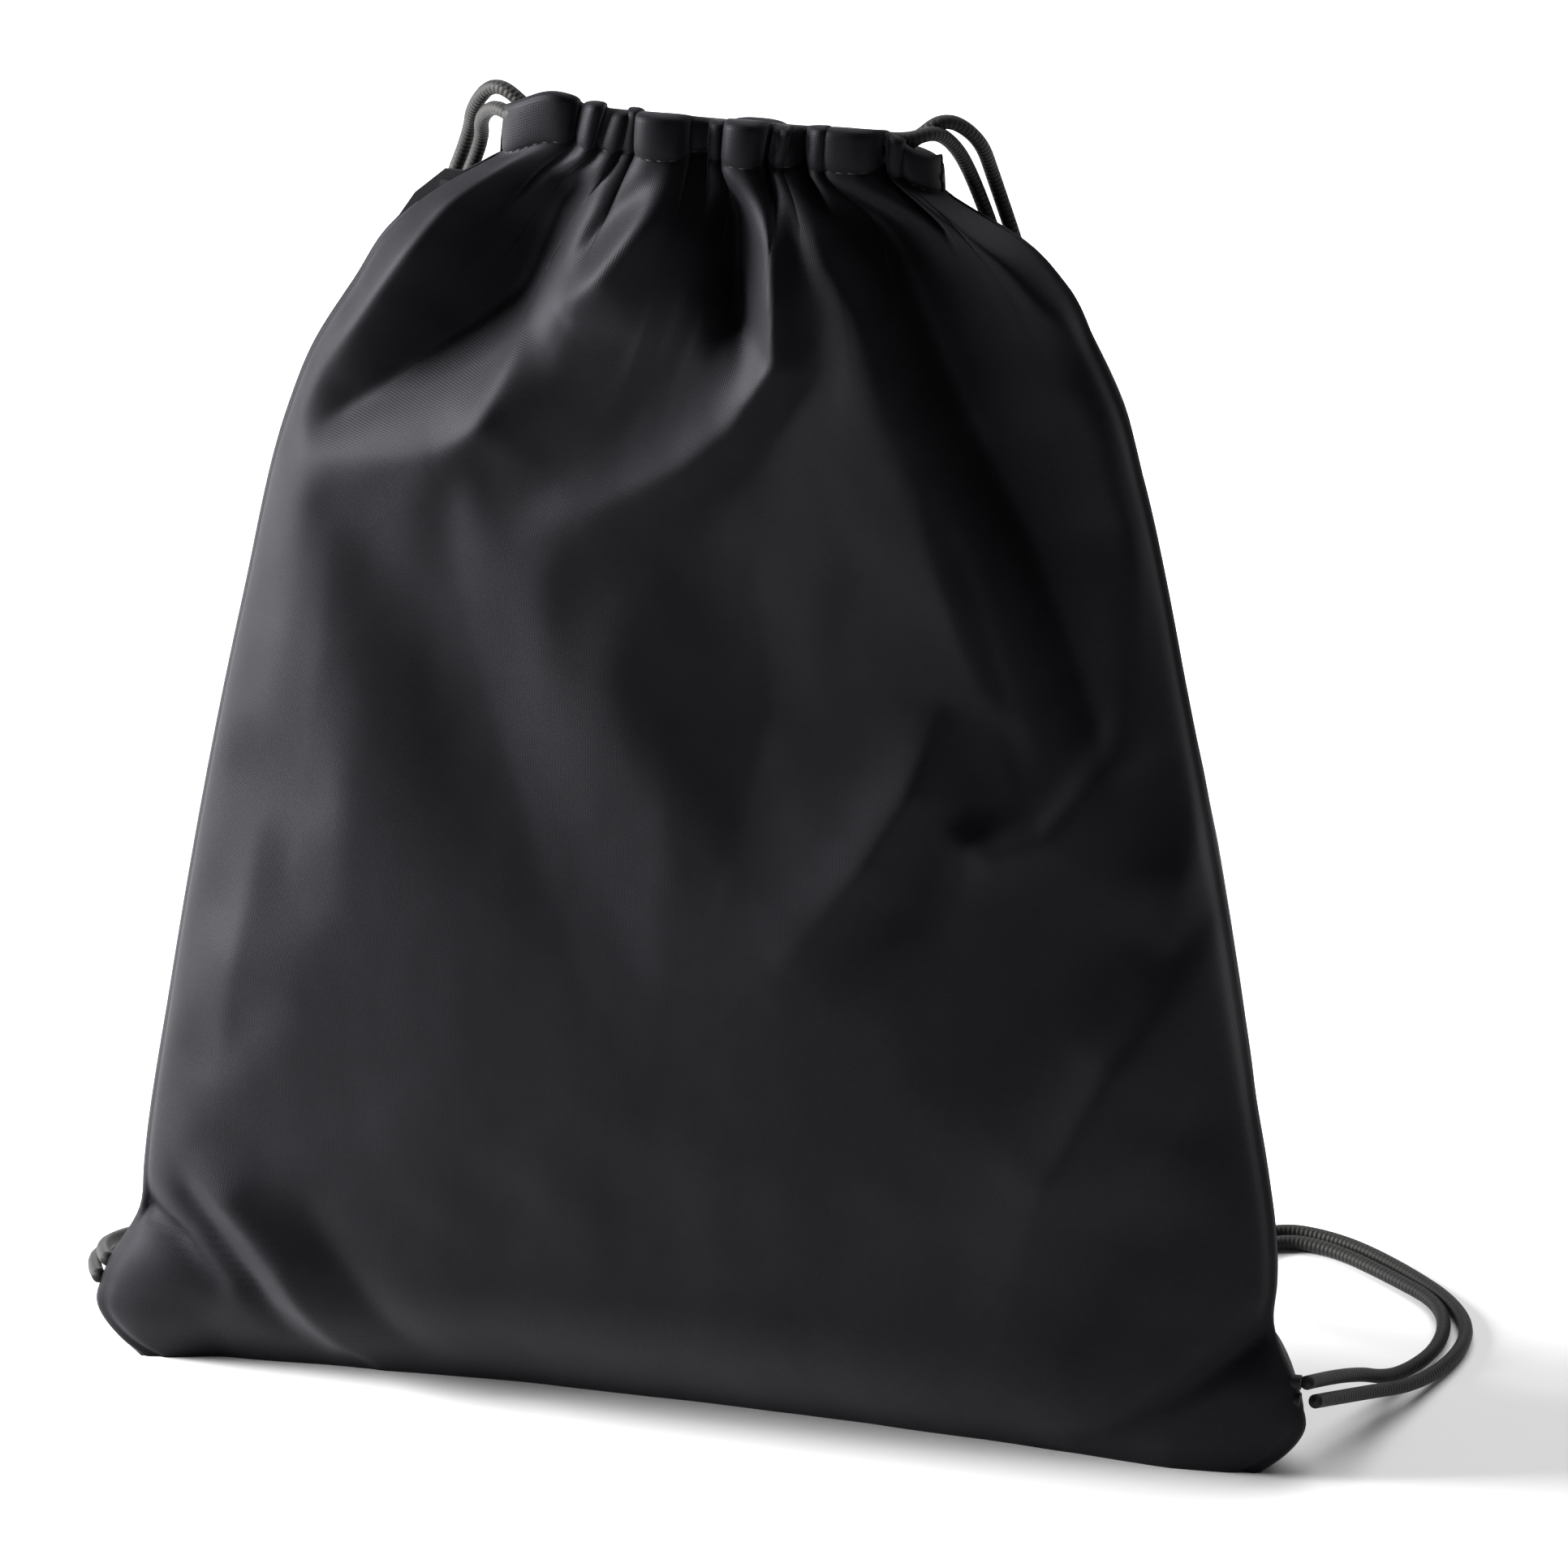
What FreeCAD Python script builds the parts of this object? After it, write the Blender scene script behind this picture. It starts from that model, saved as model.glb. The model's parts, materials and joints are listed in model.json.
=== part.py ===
import FreeCAD, Part
import math
import os

# Drawstring backpack, standing on its base. Millimetres, +Z up, -Y is the front of the bag.
# The origin is the middle of the bag's footprint, on the surface that it stands on.

Vector = FreeCAD.Vector

# ---- driving dimensions -------------------------------------------------------------------
CLOTH = 1.5             # wall of the filled bag, a stiffened stand-in for the thin cloth
SEAM_GAP = 0.1          # clearance between the two panels where the side seams close them
OVAL_POWER = 2.4        # 2 is an ellipse, more is a blunter section
SECTION_STEPS = 12      # spans of each section's curve

# Stations up the bag: height, half width, front surface, back surface.
STATIONS = [
    (0.0, 165.0, -20.0, 33.0),
    (15.0, 175.0, -31.0, 38.5),
    (60.0, 168.5, -42.5, 44.5),
    (120.0, 158.0, -48.0, 48.0),
    (200.0, 144.5, -46.0, 46.0),
    (300.0, 123.0, -36.0, 36.0),
    (343.0, 107.0, -29.0, 29.0),
    (370.0, 90.0, -21.5, 21.5),
    (390.0, 68.0, -15.5, 15.5),
]
PANEL_TOP = STATIONS[-1][0]
SEAM_Y_BOTTOM = -15.0   # the side seams start here at the base and reach Y = 0 at the mouth

CASING_HEIGHT = 13.0
CASING_DEPTH = 8.4
CASING_WALL = 1.2
CASING_CORNER = 2.0
CASING_HALF = 58.0      # half the width that the mouth is gathered to
CASING_RADIUS = 362.0   # plan radius of the casing's middle line
CASING_MID_Y = 12.0     # middle line of each casing from the bag's middle plane, at X = 0

CORD_DIA = 4.2
LANE_UPPER = 398.9      # height of the right drawcord inside both casings
LANE_LOWER = 394.1      # height of the left drawcord inside both casings

ALLOWANCE_WIDTH = 8.0
ALLOWANCE_THICK = 1.2
ALLOWANCE_INSET = 4.5   # seam allowance's outer edge, inside the panels' outer edge

STITCH_LENGTH = 2.6
STITCH_PITCH = 4.0
STITCH_THICK = 0.4
STITCH_HEIGHT = 0.6
THREAD_GAP = 0.05       # clearance between a thread piece and the cloth that it lies on

ANCHOR_Z = 27.0
ANCHOR_X = 178.8        # the hinge line's lower end, just outside the side seam
STRAND_PITCH = 5.6      # between the middle lines of a strap's two strands
HINGE_GAP = 0.15        # each side of the plane where a strap's strands start to swing
STUB_IN = 167.0         # inner end of the sewn-in cord ends
STUB_OUT = 175.4        # outer end, just clear of the swinging strands

# ---- cord routes, middle lines, right side --------------------------------------------------
# The hinge line of a strap runs from the corner anchor to the point where its cord leaves the
# arch beside the mouth.
HINGE_TOP = Vector(77.0, 23.0, 371.0)
ANCHOR = Vector(ANCHOR_X, -13.9, ANCHOR_Z)
HINGE_DIR = (HINGE_TOP - ANCHOR).normalize()


def station_value(column, z):
    """Value of a station column at height z, on straight lines between the stations."""
    for low, high in zip(STATIONS, STATIONS[1:]):
        if z <= high[0]:
            share = (z - low[0]) / (high[0] - low[0])
            return low[column] + share * (high[column] - low[column])
    return STATIONS[-1][column]


def seam_y(z):
    return SEAM_Y_BOTTOM * (1.0 - z / PANEL_TOP)


def oval_points(half_width, depth, side, z):
    """Half of a blunt oval from +X to -X, bulging to the front (side -1) or the back (side 1)."""
    base = seam_y(z) + side * SEAM_GAP / 2
    points = []
    for step in range(SECTION_STEPS + 1):
        angle = math.pi * step / SECTION_STEPS
        across = math.cos(angle)
        out = abs(math.sin(angle)) ** (2 / OVAL_POWER)
        x = half_width * math.copysign(abs(across) ** (2 / OVAL_POWER), across)
        points.append(Vector(x, base + side * depth * out, z))
    points[0] = Vector(half_width, base, z)
    points[-1] = Vector(-half_width, base, z)
    return points


def spline_edge(points):
    curve = Part.BSplineCurve()
    curve.interpolate(points)
    return curve.toShape()


def wall_section(station, side):
    """Closed outline of one panel's wall at a station."""
    z, half_width, front, back = station
    surface = front if side < 0 else back
    depth = abs(surface - seam_y(z))
    outer = oval_points(half_width, depth, side, z)
    inner = oval_points(half_width - CLOTH, depth - CLOTH, side, z)
    inner.reverse()
    edges = [
        spline_edge(outer),
        Part.makeLine(outer[-1], inner[0]),
        spline_edge(inner),
        Part.makeLine(inner[-1], outer[0]),
    ]
    return Part.Wire(edges)


def panel_shell(side):
    return Part.makeLoft([wall_section(station, side) for station in STATIONS], True, False)


def base_plate():
    """Lowest part of the back panel, turned under to the bottom seam at the front."""
    z, half_width, front, back = STATIONS[0]
    inset = CLOTH + SEAM_GAP
    rear = oval_points(half_width - CLOTH / 2, back - seam_y(z) - CLOTH / 2, 1, z)
    fore = oval_points(half_width - inset, abs(front - seam_y(z)) - inset, -1, z)
    fore.reverse()
    edges = [
        spline_edge(rear),
        Part.makeLine(rear[-1], fore[0]),
        spline_edge(fore),
        Part.makeLine(fore[-1], rear[0]),
    ]
    return Part.Face(Part.Wire(edges)).extrude(Vector(0, 0, CLOTH))


def cord_holes():
    """Clearance for the sewn-in cord ends, both sides."""
    holes = []
    for mirror in (1, -1):
        for start in anchor_points():
            radius = CORD_DIA / 2 + SEAM_GAP
            low = min(mirror * STUB_IN, mirror * (STUB_OUT + CORD_DIA))
            length = STUB_OUT + CORD_DIA - STUB_IN
            holes.append(Part.makeCylinder(radius, length, Vector(low, start.y, start.z), Vector(1, 0, 0)))
    return Part.makeCompound(holes)


def front_panel():
    return panel_shell(-1).cut(cord_holes())


def back_panel():
    return panel_shell(1).fuse(base_plate()).removeSplitter().cut(cord_holes())


# ---- casings --------------------------------------------------------------------------------
def rounded_rectangle(width, height, radius, centre):
    """Face in the YZ plane."""
    box = Part.makeBox(1, width, height, centre + Vector(0, -width / 2, -height / 2))
    edges = [e for e in box.Edges if abs(e.tangentAt(e.FirstParameter).x) > 0.9]
    return [f for f in box.makeFillet(radius, edges).Faces if abs(f.normalAt(0, 0).x) > 0.9
            and abs(f.CenterOfMass.x) < 1e-6][0]


def casing(side):
    """Hollow folded hem along one panel's top edge, bowed out like the gathered mouth."""
    mid = Vector(0, side * CASING_MID_Y, PANEL_TOP + CASING_HEIGHT / 2)
    outer = rounded_rectangle(CASING_DEPTH, CASING_HEIGHT, CASING_CORNER, mid)
    inner = rounded_rectangle(CASING_DEPTH - 2 * CASING_WALL, CASING_HEIGHT - 2 * CASING_WALL,
                              CASING_CORNER - CASING_WALL / 2, mid)
    wall = outer.cut(inner).Faces[0]
    turn = math.degrees(math.asin(CASING_HALF / CASING_RADIUS))
    pivot = Vector(0, side * (CASING_MID_Y - CASING_RADIUS), 0)
    wall.rotate(pivot, Vector(0, 0, 1), -turn)
    return wall.revolve(pivot, Vector(0, 0, 1), 2 * turn)


def casing_stitches(side):
    """Row of stitches on the outer face, just above the casing's lower edge."""
    reach = CASING_RADIUS + CASING_DEPTH / 2 + THREAD_GAP
    pivot = Vector(0, side * (CASING_MID_Y - CASING_RADIUS), 0)
    count = int(2 * CASING_HALF / STITCH_PITCH)
    low = PANEL_TOP + CASING_CORNER + STITCH_HEIGHT
    stitches = []
    for index in range(count):
        near = pivot.y + side * reach
        corner = Vector(-STITCH_LENGTH / 2, min(near, near + side * STITCH_THICK), low)
        stitch = Part.makeBox(STITCH_LENGTH, STITCH_THICK, STITCH_HEIGHT, corner)
        turn = math.degrees((index - (count - 1) / 2) * STITCH_PITCH / reach)
        stitch.rotate(pivot, Vector(0, 0, 1), turn)
        stitches.append(stitch)
    return Part.makeCompound(stitches)


# ---- seams ----------------------------------------------------------------------------------
ALLOWANCE_LOW = 12.0
ALLOWANCE_TOP = 378.0
SEAM_TILT = math.degrees(math.atan2(-SEAM_Y_BOTTOM, PANEL_TOP))
BOTTOM_SEAM_HALF = 146.0
BOTTOM_SEAM_FRONT = -15.4


def tilt_to_seam(shape):
    """Turns a piece built in the plane Y = 0 into the plane of the side seams."""
    shape.rotate(Vector(0, 0, PANEL_TOP), Vector(1, 0, 0), -SEAM_TILT)
    return shape


def side_allowance(mirror):
    heights = [ALLOWANCE_LOW] + [s[0] for s in STATIONS if ALLOWANCE_LOW < s[0] < ALLOWANCE_TOP]
    heights.append(ALLOWANCE_TOP)
    outer = [Vector(station_value(1, z) - ALLOWANCE_INSET, 0, z) for z in heights]
    inner = [p - Vector(ALLOWANCE_WIDTH, 0, 0) for p in reversed(outer)]
    outline = Part.makePolygon(outer + inner + [outer[0]])
    strip = Part.Face(outline).extrude(Vector(0, ALLOWANCE_THICK, 0))
    strip.translate(Vector(0, -ALLOWANCE_THICK / 2, 0))
    strip = tilt_to_seam(strip)
    if mirror < 0:
        strip = strip.mirror(Vector(0, 0, 0), Vector(1, 0, 0))
    return strip.cut(cord_holes())


def side_stitches(mirror):
    """Stitches along the middle of a side seam allowance, on its front face."""
    stitches = []
    z = ANCHOR_Z + 3 * STITCH_PITCH
    while z < ALLOWANCE_TOP - 3 * STITCH_PITCH:
        x = station_value(1, z) - ALLOWANCE_INSET - ALLOWANCE_WIDTH / 2
        corner = Vector(x, -ALLOWANCE_THICK / 2 - THREAD_GAP - STITCH_THICK, z)
        stitches.append(Part.makeBox(STITCH_HEIGHT, STITCH_THICK, STITCH_LENGTH, corner))
        z += STITCH_PITCH
    row = tilt_to_seam(Part.makeCompound(stitches))
    return row if mirror > 0 else row.mirror(Vector(0, 0, 0), Vector(1, 0, 0))


def bartack(mirror, z, height):
    """Dense block of thread across a side seam allowance."""
    x = station_value(1, z + height) - ALLOWANCE_INSET - ALLOWANCE_WIDTH
    corner = Vector(x + 1, -ALLOWANCE_THICK / 2 - THREAD_GAP - STITCH_THICK, z)
    tack = tilt_to_seam(Part.makeBox(ALLOWANCE_WIDTH - 3, STITCH_THICK, height, corner))
    return tack if mirror > 0 else tack.mirror(Vector(0, 0, 0), Vector(1, 0, 0))


def bottom_allowance():
    corner = Vector(-BOTTOM_SEAM_HALF, BOTTOM_SEAM_FRONT, CLOTH + THREAD_GAP)
    return Part.makeBox(2 * BOTTOM_SEAM_HALF, ALLOWANCE_WIDTH, ALLOWANCE_THICK, corner)


def bottom_stitches():
    top = CLOTH + ALLOWANCE_THICK + 2 * THREAD_GAP
    middle = BOTTOM_SEAM_FRONT + ALLOWANCE_WIDTH / 2
    count = int(2 * BOTTOM_SEAM_HALF / STITCH_PITCH)
    stitches = []
    for index in range(count):
        x = (index - (count - 1) / 2) * STITCH_PITCH - STITCH_LENGTH / 2
        stitches.append(Part.makeBox(STITCH_LENGTH, STITCH_HEIGHT, STITCH_THICK, Vector(x, middle, top)))
    return Part.makeCompound(stitches)


# ---- cords ----------------------------------------------------------------------------------
def anchor_points():
    """Where a strap's upper and lower strand meet the side seam, on the hinge line."""
    return [ANCHOR + HINGE_DIR * (STRAND_PITCH / 2), ANCHOR - HINGE_DIR * (STRAND_PITCH / 2)]


def strand_split():
    """Across the two strands of a strap, square to the hinge line: the outer strand's side."""
    across = Vector(0.7, 0.7, 0)
    across = across - HINGE_DIR * across.dot(HINGE_DIR)
    return across.normalize() * (STRAND_PITCH / 2)


def cord_ends(mirror):
    """The two cut ends of a drawcord, caught in the side seam."""
    stubs = []
    for start in anchor_points():
        low = min(mirror * STUB_IN, mirror * STUB_OUT)
        stubs.append(Part.makeCylinder(CORD_DIA / 2, STUB_OUT - STUB_IN, Vector(low, start.y, start.z),
                                       Vector(1, 0, 0)))
    return Part.makeCompound(stubs)


def route_path(points):
    """Straight runs joined by tangent arcs. Returns the wire and the arcs' radii."""
    edges = []
    radii = []
    begin = points[0]
    for before, corner, after in zip(points, points[1:], points[2:]):
        back = before - corner
        ahead = after - corner
        shorter = min(back.Length, ahead.Length)
        back.normalize()
        ahead.normalize()
        half_turn = (math.pi - back.getAngle(ahead)) / 2
        cut = 0.45 * shorter
        radius = cut / math.tan(half_turn)
        radii.append(radius)
        arc_start = corner + back * cut
        arc_end = corner + ahead * cut
        to_centre = (back + ahead).normalize()
        centre = corner + to_centre * math.hypot(radius, cut)
        edges.append(Part.LineSegment(begin, arc_start).toShape())
        edges.append(Part.Arc(arc_start, centre - to_centre * radius, arc_end).toShape())
        begin = arc_end
    edges.append(Part.LineSegment(begin, points[-1]).toShape())
    return Part.Wire(edges), radii


def cord_tube(name, points):
    path, radii = route_path(points)
    direction = points[1] - points[0]
    circle = Part.Wire([Part.Circle(points[0], direction, CORD_DIA / 2).toShape()])
    tube = path.makePipeShell([circle], True, False)
    expected = math.pi * CORD_DIA ** 2 / 4 * path.Length
    print(name, "length", round(path.Length, 1), "volume / (section x length)",
          round(tube.Volume / expected, 4), "radii", [round(r, 1) for r in radii])
    return tube


def mirrored(points):
    return [Vector(-p.x, p.y, p.z) for p in points]


def casing_lane(side, z, reach):
    """Points along a casing's middle line from +reach to -reach."""
    points = []
    for x in (reach, 20.0, -20.0, -reach):
        bow = CASING_RADIUS - math.sqrt(CASING_RADIUS ** 2 - x ** 2)
        points.append(Vector(x, side * (CASING_MID_Y - bow), z))
    return points


def hinge_end(offset, above):
    """A strand's point on the hinge plane and the next one along the hinge line."""
    start = HINGE_TOP + offset
    sign = 1 if above else -1
    return [start + HINGE_DIR * (sign * HINGE_GAP), start + HINGE_DIR * (sign * 12.0)]


# Arches of the right drawcord beside the mouth, from the casing's end outwards.
RIGHT_FRONT_ARCH = [Vector(63.5, -5.8, 399.4), Vector(69.0, 2.0, 403.5), Vector(71.5, 13.0, 397.5)]
RIGHT_BACK_ARCH = [Vector(63.0, 7.2, 399.6), Vector(69.5, 11.0, 405.0), Vector(76.5, 18.5, 397.5)]
# Arches of the left drawcord, drawn on the right side and mirrored.
LEFT_FRONT_ARCH = [Vector(63.0, -5.9, 394.0), Vector(71.5, 1.5, 394.2), Vector(75.0, 12.0, 390.5)]
LEFT_BACK_ARCH = [Vector(63.0, 7.2, 394.0), Vector(71.5, 11.5, 395.5), Vector(77.0, 19.0, 391.5)]
# Turnaround of the other side's drawcord at the casings' ends, drawn on the right side.
TURN_X = 66.0
TURN_Y = 5.2


def turnaround(z):
    return [Vector(TURN_X, -TURN_Y, z), Vector(TURN_X, TURN_Y, z)]


def drawcord_channel(front_arch, back_arch, lane):
    """From the inner strand's hinge end, through both casings, to the outer strand's."""
    split = strand_split()
    inner = hinge_end(split * -1, True)
    outer = hinge_end(split, True)
    points = inner + list(reversed(front_arch))
    points += casing_lane(-1, lane, CASING_HALF - 8)
    points += mirrored(turnaround(lane))
    points += list(reversed(casing_lane(1, lane, CASING_HALF - 8)))
    points += back_arch + list(reversed(outer))
    return points


# Straps below the hinge plane, from the top to the corner anchor. The outer strand at the top
# is the inner one of the loop that lies on the floor.
RIGHT_OUTER_DOWN = [
    Vector(88.0, 35.0, 329.0), Vector(92.5, 47.0, 285.0), Vector(97.5, 53.5, 232.0),
    Vector(102.0, 56.5, 178.0), Vector(107.5, 57.5, 124.0), Vector(112.5, 60.5, 76.0),
    Vector(116.5, 69.0, 37.0), Vector(121.0, 84.0, 12.0), Vector(127.5, 103.0, 2.6),
    Vector(138.5, 118.0, 2.4), Vector(154.0, 119.5, 2.4), Vector(173.5, 108.5, 2.4),
    Vector(189.5, 91.5, 2.4), Vector(193.5, 72.0, 2.4), Vector(187.5, 47.0, 4.5),
    Vector(183.0, 18.0, 20.0),
]
RIGHT_INNER_DOWN = [
    Vector(82.5, 36.0, 329.0), Vector(87.0, 48.0, 285.0), Vector(92.0, 54.0, 232.0),
    Vector(96.5, 57.0, 178.0), Vector(102.0, 58.0, 124.0), Vector(107.0, 61.5, 76.0),
    Vector(111.0, 71.5, 36.0), Vector(115.5, 88.0, 10.0), Vector(123.0, 108.0, 2.6),
    Vector(136.5, 124.5, 2.4), Vector(156.0, 125.5, 2.4), Vector(178.0, 112.5, 2.4),
    Vector(195.5, 93.5, 2.4), Vector(199.5, 71.5, 2.4), Vector(192.5, 44.0, 3.5),
    Vector(184.5, 14.0, 14.0),
]
# The left strap, drawn on the right side and mirrored: its loop stays behind the bag.
LEFT_OUTER_DOWN = [
    Vector(88.0, 35.0, 329.0), Vector(92.5, 47.0, 285.0), Vector(97.0, 53.5, 232.0),
    Vector(101.0, 56.5, 178.0), Vector(104.5, 57.5, 124.0), Vector(106.5, 61.0, 76.0),
    Vector(107.0, 70.0, 37.0), Vector(108.5, 85.0, 12.0), Vector(114.0, 103.5, 2.6),
    Vector(127.0, 114.0, 2.4), Vector(145.0, 110.5, 2.4), Vector(160.0, 97.0, 2.4),
    Vector(170.5, 78.5, 2.4), Vector(177.0, 55.0, 2.4), Vector(179.5, 30.0, 7.5),
    Vector(182.0, 8.0, 22.0),
]
LEFT_INNER_DOWN = [
    Vector(82.5, 36.0, 329.0), Vector(87.0, 48.0, 285.0), Vector(91.5, 54.0, 232.0),
    Vector(95.5, 57.0, 178.0), Vector(99.0, 58.0, 124.0), Vector(101.0, 62.0, 76.0),
    Vector(101.5, 72.0, 36.0), Vector(103.0, 88.0, 10.0), Vector(109.5, 108.5, 2.6),
    Vector(126.0, 120.5, 2.4), Vector(148.0, 115.5, 2.4), Vector(164.5, 100.5, 2.4),
    Vector(175.5, 80.5, 2.4), Vector(182.5, 55.5, 2.4), Vector(184.0, 29.0, 5.0),
    Vector(183.5, 6.0, 16.0),
]


def strap_strand(offset, down, anchor):
    return hinge_end(offset, False) + down + [anchor]


def cord_shapes():
    """The six tubes of the two drawcords."""
    split = strand_split()
    upper, lower = anchor_points()
    right_channel = drawcord_channel(RIGHT_FRONT_ARCH, RIGHT_BACK_ARCH, LANE_UPPER)
    left_channel = mirrored(drawcord_channel(LEFT_FRONT_ARCH, LEFT_BACK_ARCH, LANE_LOWER))
    routes = {
        "right_drawcord_channel": right_channel,
        "right_strap_back_strand": strap_strand(split, RIGHT_OUTER_DOWN, upper),
        "right_strap_front_strand": strap_strand(split * -1, RIGHT_INNER_DOWN, lower),
        "left_drawcord_channel": left_channel,
        "left_strap_back_strand": mirrored(strap_strand(split, LEFT_OUTER_DOWN, upper)),
        "left_strap_front_strand": mirrored(strap_strand(split * -1, LEFT_INNER_DOWN, lower)),
    }
    return {name: cord_tube(name, points) for name, points in routes.items()}


# ---- the whole bag --------------------------------------------------------------------------
def bag_shapes():
    shapes = {
        "front_panel": front_panel(),
        "back_panel": back_panel(),
        "front_casing": casing(-1),
        "back_casing": casing(1),
        "front_casing_stitching": casing_stitches(-1),
        "back_casing_stitching": casing_stitches(1),
        "bottom_seam_allowance": bottom_allowance(),
        "bottom_seam_stitching": bottom_stitches(),
    }
    for name, mirror in (("left", -1), ("right", 1)):
        shapes[name + "_seam_allowance"] = side_allowance(mirror)
        shapes[name + "_seam_stitching"] = side_stitches(mirror)
        shapes[name + "_slit_bartack"] = bartack(mirror, ALLOWANCE_TOP - 8, 5)
        shapes[name + "_corner_bartack"] = bartack(mirror, ANCHOR_Z + 6, 3)
        shapes[name + "_cord_ends"] = cord_ends(mirror)
    return shapes


def main():
    os.makedirs("parts", exist_ok=True)
    shapes = bag_shapes()
    shapes.update(cord_shapes())
    for name, shape in shapes.items():
        shape.exportStep("parts/" + name + ".step")
        print(name, "valid", shape.isValid(), "solids", len(shape.Solids),
              "volume", round(shape.Volume, 1))


main()
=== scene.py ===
import json
import math
import bpy
import numpy as np
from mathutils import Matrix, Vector, noise

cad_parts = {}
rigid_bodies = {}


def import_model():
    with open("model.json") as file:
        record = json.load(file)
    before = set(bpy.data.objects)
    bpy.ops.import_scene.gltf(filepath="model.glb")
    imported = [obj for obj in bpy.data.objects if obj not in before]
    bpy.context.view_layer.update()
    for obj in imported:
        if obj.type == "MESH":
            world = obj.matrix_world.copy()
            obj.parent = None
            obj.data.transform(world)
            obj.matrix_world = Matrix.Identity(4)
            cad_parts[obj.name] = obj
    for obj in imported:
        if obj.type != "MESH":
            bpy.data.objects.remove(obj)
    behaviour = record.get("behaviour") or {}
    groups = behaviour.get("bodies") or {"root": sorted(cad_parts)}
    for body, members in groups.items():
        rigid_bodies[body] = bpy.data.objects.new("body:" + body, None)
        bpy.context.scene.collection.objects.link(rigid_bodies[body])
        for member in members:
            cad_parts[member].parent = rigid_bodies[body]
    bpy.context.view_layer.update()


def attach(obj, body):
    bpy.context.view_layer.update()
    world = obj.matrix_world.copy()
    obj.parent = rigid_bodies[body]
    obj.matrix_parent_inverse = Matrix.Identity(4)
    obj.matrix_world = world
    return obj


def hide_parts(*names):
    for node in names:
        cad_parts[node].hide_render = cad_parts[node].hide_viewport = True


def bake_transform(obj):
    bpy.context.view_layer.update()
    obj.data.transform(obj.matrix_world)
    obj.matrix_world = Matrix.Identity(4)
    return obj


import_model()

# Drawstring backpack. The bag's own frame: +Z up, -Y out of the front. Lengths are in
# millimetres up to the point where a mesh is made, and MM turns them into metres.
MM = 0.001

# ---- driving sizes ---------------------------------------------------------------------------
CLOTH_THICK = 0.45
PANEL_TOP = 390.0         # the casing starts here
SEAM_Y_BOTTOM = -15.0     # the side seams lean: this far forward at the floor, 0 at the casing
OVAL_POWER = 2.3          # how square the filled section is; 2 is an ellipse
FLAT_WIDTH = 356.0        # a panel's cut width between the side seams
CORD_DIA = 4.2

# Profiles up the filled bag: height and value.
HALF_WIDTH = [(0, 164), (6, 171), (15, 177), (26, 175), (49, 165.5), (60, 165.5), (120, 157.5),
              (181, 147.5), (241, 135.8), (302, 122.4), (322, 116), (343, 105.5), (363, 95.7),
              (378, 82.5), (390, 63.5)]
# Sideways offset of the section's middle.
LEAN = [(0, -1.5), (30, -1.5), (60, 0.9), (120, 1.3), (250, 1.2), (300, 1.4), (363, 4.9), (378, 5.0),
        (390, 3.2)]
# The front's and the back's farthest points from the middle plane.
FRONT_Y = [(0, -20), (15, -31), (60, -42.5), (120, -48), (200, -46), (300, -37), (343, -30), (370, -22),
           (390, -13)]
BACK_Y = [(0, 33), (15, 38.5), (60, 44.5), (120, 48), (200, 46), (300, 37), (343, 30), (370, 21),
          (390, 12)]


def profile(stations, z):
    """Smooth curve through the stations at the heights z."""
    at = np.array([s[0] for s in stations], float)
    value = np.array([s[1] for s in stations], float)
    slope = np.gradient(value, at)
    z = np.clip(z, at[0], at[-1])
    i = np.clip(np.searchsorted(at, z) - 1, 0, len(at) - 2)
    step = at[i + 1] - at[i]
    t = (z - at[i]) / step
    h00 = 2 * t ** 3 - 3 * t ** 2 + 1
    h10 = t ** 3 - 2 * t ** 2 + t
    h01 = -2 * t ** 3 + 3 * t ** 2
    h11 = t ** 3 - t ** 2
    return h00 * value[i] + h10 * step * slope[i] + h01 * value[i + 1] + h11 * step * slope[i + 1]


def seam_y(z):
    """Where the two side seams run at the heights z."""
    return SEAM_Y_BOTTOM * (1.0 - np.clip(z, 0, PANEL_TOP) / PANEL_TOP)


def smooth_step(x):
    """Eases from 0 to 1 as x goes from 0 to 1."""
    x = np.clip(x, 0.0, 1.0)
    return x * x * (3 - 2 * x)


# ---- camera ----------------------------------------------------------------------------------
CAMERA_AZIMUTH = 12.7
CAMERA_ELEVATION = 25.5
CAMERA_DISTANCE = 5.0
CAMERA_LENS = 404.0
CAMERA_AIM = Vector((20.8, 0.0, 196.6)) * MM
SENSOR_WIDTH = 36.0
CLIP_END = 50.0


def add_camera():
    data = bpy.data.cameras.new("camera")
    data.lens = CAMERA_LENS
    data.sensor_width = SENSOR_WIDTH
    data.clip_end = CLIP_END
    camera = bpy.data.objects.new("camera", data)
    bpy.context.scene.collection.objects.link(camera)
    azimuth = math.radians(CAMERA_AZIMUTH)
    elevation = math.radians(CAMERA_ELEVATION)
    back = Vector((math.sin(azimuth) * math.cos(elevation), -math.cos(azimuth) * math.cos(elevation),
                   math.sin(elevation)))
    camera.location = CAMERA_AIM + back * CAMERA_DISTANCE
    camera.rotation_mode = "QUATERNION"
    camera.rotation_quaternion = (-back).to_track_quat("-Z", "Y")
    bpy.context.scene.camera = camera


add_camera()


# ---- materials -------------------------------------------------------------------------------
THREADS_SCALE = 52.0
MOTTLE_SCALE = 9.0
GRAIN_SCALE = 900.0
GRAIN_DARK = 0.6          # the grain's dark share of the colour
CLOTH_TINT = (0.9, 0.86, 1.0, 1)


def new_material(name):
    """A new material with its nodes, links and shader."""
    material = bpy.data.materials.new(name)
    material.use_nodes = True
    nodes = material.node_tree.nodes
    return material, nodes, material.node_tree.links, nodes["Principled BSDF"]


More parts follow.
